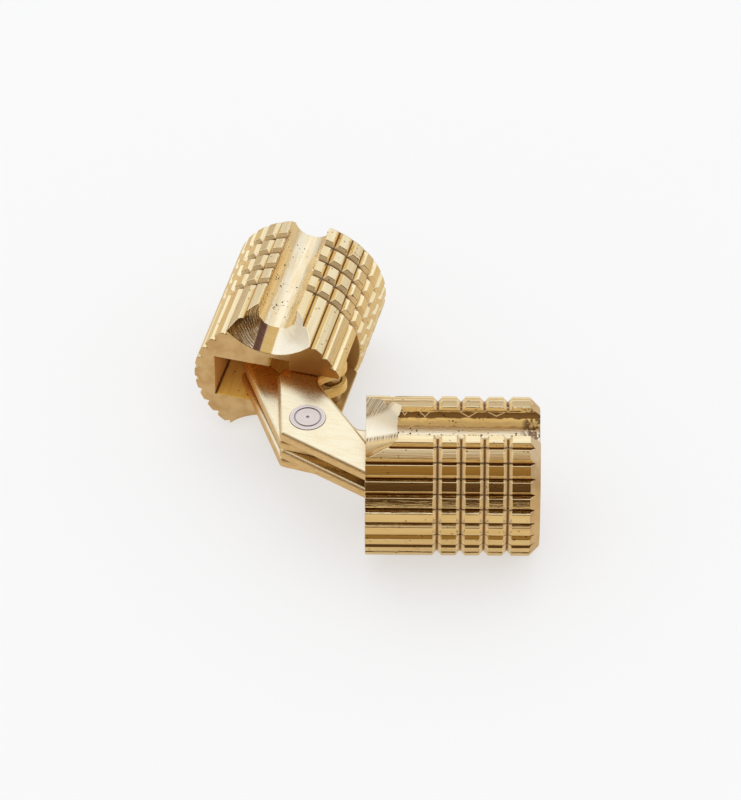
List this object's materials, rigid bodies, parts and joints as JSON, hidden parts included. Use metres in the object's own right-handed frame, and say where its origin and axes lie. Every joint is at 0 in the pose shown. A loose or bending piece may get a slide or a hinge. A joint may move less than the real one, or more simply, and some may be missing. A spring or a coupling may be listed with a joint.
{
  "type": "concealed barrel hinge",
  "caption": "Concealed barrel hinge: fluted round barrels joined by hooked link plates that fold on a centre rivet, pressed in drilled holes of a panel and its door.",
  "frame": {"origin": "centre of barrel A's front face", "axes": "+Y along barrel A's axis from its front face into the barrel, +X to the flank where the hinge opens, +Z along the pivots"},
  "size_m": [0.0346, 0.0309, 0.0136],
  "materials": {
    "brass": "polished",
    "plate": "satin",
    "steel": "satin"
  },
  "bodies": {
    "barrel_a": {"barrel_a": "brass", "pivot_pin_a": "steel"},
    "links_a": {"link_plate_1": "plate", "link_plate_3": "plate", "centre_rivet": "steel"},
    "links_b": {"link_plate_2": "plate", "link_plate_4": "plate"},
    "barrel_b": {"barrel_b": "brass", "pivot_pin_b": "steel"}
  },
  "joints": [
    {"name": "links_a_swing", "type": "hinge", "parent": "barrel_a", "child": "links_a", "pos_m": [0.0052, 0.0023, 0], "axis": [0, 0, 1], "range_deg": [-69.8, 50.7]},
    {"name": "rivet_turn", "type": "hinge", "parent": "links_a", "child": "links_b", "pos_m": [0.005, -0.0052, 0], "axis": [0, 0, 1], "range_deg": [-26, 35.6]},
    {"name": "barrel_b_swing", "type": "hinge", "parent": "links_b", "child": "barrel_b", "pos_m": [0.01222, -0.00317, 0], "axis": [0, 0, 1], "range_deg": [-69.9, 50.8]}
  ],
  "couplings": [
    {"joint": "rivet_turn", "follows": "links_a_swing", "ratio": -0.50751},
    {"joint": "barrel_b_swing", "follows": "links_a_swing", "ratio": 1}
  ]
}
